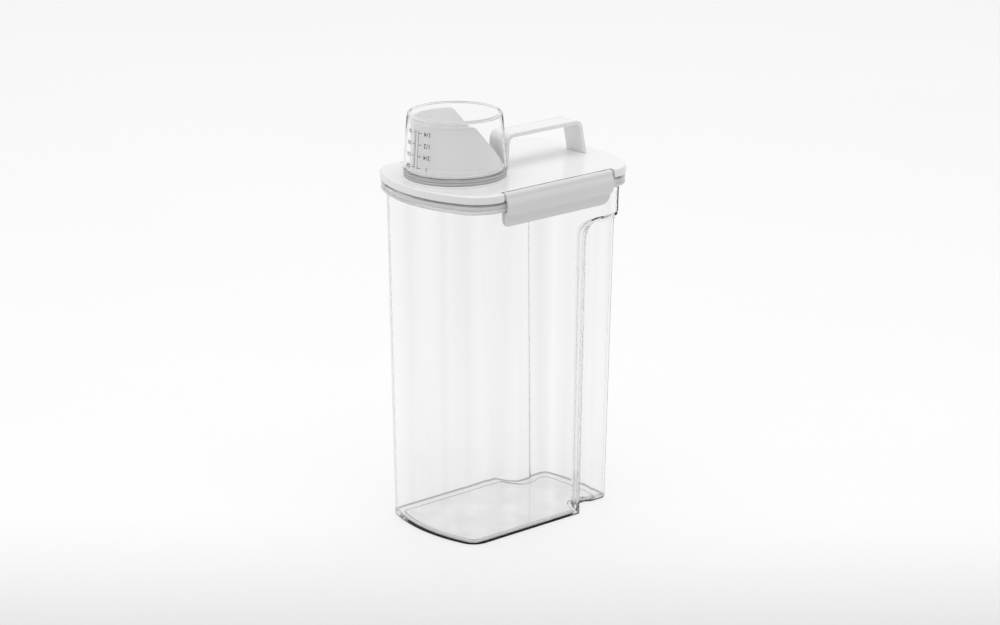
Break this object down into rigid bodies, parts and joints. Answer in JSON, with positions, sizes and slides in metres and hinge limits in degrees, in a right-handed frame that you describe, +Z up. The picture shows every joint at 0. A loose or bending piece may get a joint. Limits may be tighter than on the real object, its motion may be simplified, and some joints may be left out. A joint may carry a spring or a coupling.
{
  "type": "cereal dispenser",
  "caption": "Clear storage container with a latched white lid, carry handle, slant-cut pour spout and a clear measuring cup that caps it.",
  "frame": {"origin": "middle of the resting base", "axes": "+Z up, +X from the pouring end to the handle end, +Y towards the far latch"},
  "size_m": [0.2072, 0.1466, 0.3663],
  "materials": {
    "clear_body": "clear moulded plastic, glossy",
    "clear_cup": "clear moulded plastic, glossy",
    "white_lid": "glossy white plastic",
    "lid_seal": "soft grey silicone",
    "white_handle": "glossy white plastic",
    "white_spout": "satin white plastic",
    "grey_seal": "mid grey silicone",
    "white_latch": "glossy white plastic"
  },
  "bodies": {
    "container": {"container_body": "clear_body"},
    "lid": {"lid_cover": "white_lid", "lid_seal": "lid_seal", "carry_handle": "white_handle", "pour_spout": "white_spout", "spout_seal": "grey_seal"},
    "cup": {"measuring_cup": "clear_cup"},
    "latch_near": {"latch_near": "white_latch"},
    "latch_far": {"latch_far": "white_latch"}
  },
  "joints": [
    {"name": "lid_lift", "type": "slide", "parent": "container", "child": "lid", "axis": [0, 0, 1], "range_m": [0, 0.15]},
    {"name": "cup_lift", "type": "slide", "parent": "lid", "child": "cup", "axis": [0, 0, 1], "range_m": [0, 0.08]},
    {"name": "latch_near_hinge", "type": "hinge", "parent": "lid", "child": "latch_near", "pos_m": [0.0025, -0.0674, 0.3064], "axis": [-1, 0, 0], "range_deg": [0, 100]},
    {"name": "latch_far_hinge", "type": "hinge", "parent": "lid", "child": "latch_far", "pos_m": [0.0025, 0.0674, 0.3064], "axis": [1, 0, 0], "range_deg": [0, 100]}
  ]
}
